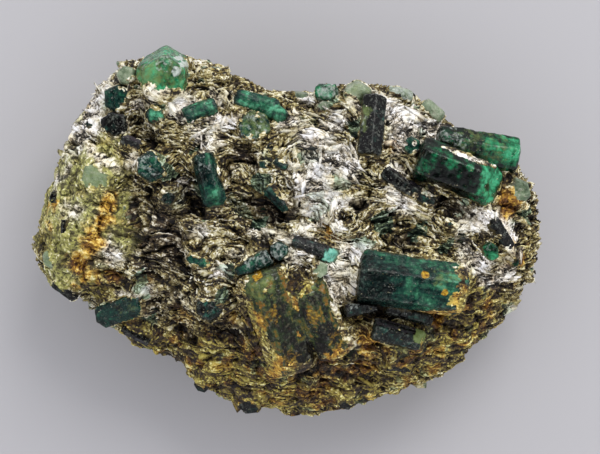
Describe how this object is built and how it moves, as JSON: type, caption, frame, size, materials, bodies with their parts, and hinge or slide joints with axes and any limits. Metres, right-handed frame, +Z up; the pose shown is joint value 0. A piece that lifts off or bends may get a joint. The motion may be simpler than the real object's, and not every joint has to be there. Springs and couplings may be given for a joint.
{
  "type": "emerald in matrix",
  "caption": "Specimen of dark to bright green hexagonal emerald prisms grown through a rounded lump of layered mica schist, lying on a flat cleavage face.",
  "frame": {"origin": "middle of the specimen's box, on the flat face that it lies on", "axes": "+X along the long side, towards the end with the twin prisms; +Y towards the side with the pale crown crystal; +Z up, out of the crystal-bearing face"},
  "size_m": [0.0858, 0.0631, 0.0345],
  "materials": {
    "schist": "silvery and olive mica layers, rough, with rust stains",
    "emerald_bright": "glassy and see-through, with inclusions and a waxy broken end",
    "emerald_deep": "glassy deep green, cloudy with inclusions",
    "emerald_dark": "nearly black green, glossy faces with mica films",
    "beryl_pale": "cloudy pale green with a dull talc skin",
    "beryl_stained": "dark green under brown and orange rust stains, dull"
  },
  "bodies": {
    "root": {"apex_ridge": "emerald_deep", "apex_tip": "emerald_deep", "black_chip": "emerald_dark", "black_knob": "emerald_dark", "centre_prism": "emerald_deep", "crown_group": "emerald_bright", "crown_neighbour": "beryl_pale", "dark_block": "emerald_dark", "dark_lens": "emerald_deep", "dark_prism": "emerald_dark", "dark_round_crystal": "emerald_deep", "dark_small_crystal": "emerald_dark", "east_blade": "emerald_dark", "east_chip": "emerald_deep", "east_hexagon": "emerald_bright", "east_knob": "beryl_pale", "east_small": "emerald_bright", "glossy_bulb": "emerald_dark", "great_prism": "emerald_deep", "green_chip_east": "emerald_deep", "green_chip_middle": "emerald_deep", "green_chip_west": "emerald_deep", "green_crystal_nw": "emerald_deep", "grey_round_crystal": "beryl_pale", "hollow_prism": "emerald_deep", "leaf_group": "emerald_deep", "north_block": "emerald_bright", "north_blue_chip": "beryl_pale", "north_grey_crystal": "beryl_pale", "north_knob": "beryl_pale", "north_round_crystal": "emerald_deep", "north_small_crystal": "emerald_dark", "pale_diamond_crystal": "beryl_pale", "pale_west_crystal": "beryl_pale", "rim_blue_crystal": "beryl_pale", "rim_grey_chip": "beryl_pale", "rim_pale_crystal": "beryl_pale", "schist_matrix": "schist", "shoulder_crystal": "emerald_deep", "south_black_prism": "emerald_dark", "south_east_chip": "emerald_dark", "south_knob": "emerald_dark", "south_knob_east": "emerald_dark", "south_knob_west": "emerald_dark", "south_prism": "emerald_dark", "south_west_dark_prism": "emerald_dark", "south_west_prism": "emerald_deep", "stained_group": "beryl_stained", "tall_prism": "emerald_dark", "teal_crystal_by_twins": "emerald_deep", "teal_end_prism": "emerald_dark", "teal_oblong": "emerald_deep", "twin_prism_back": "emerald_bright", "twin_prism_front": "emerald_bright", "violet_chip": "emerald_dark", "violet_stub": "emerald_dark", "west_dark_chip": "emerald_dark", "west_green_crystal": "beryl_pale", "west_rim_dark_prism": "emerald_dark"}
  },
  "joints": []
}
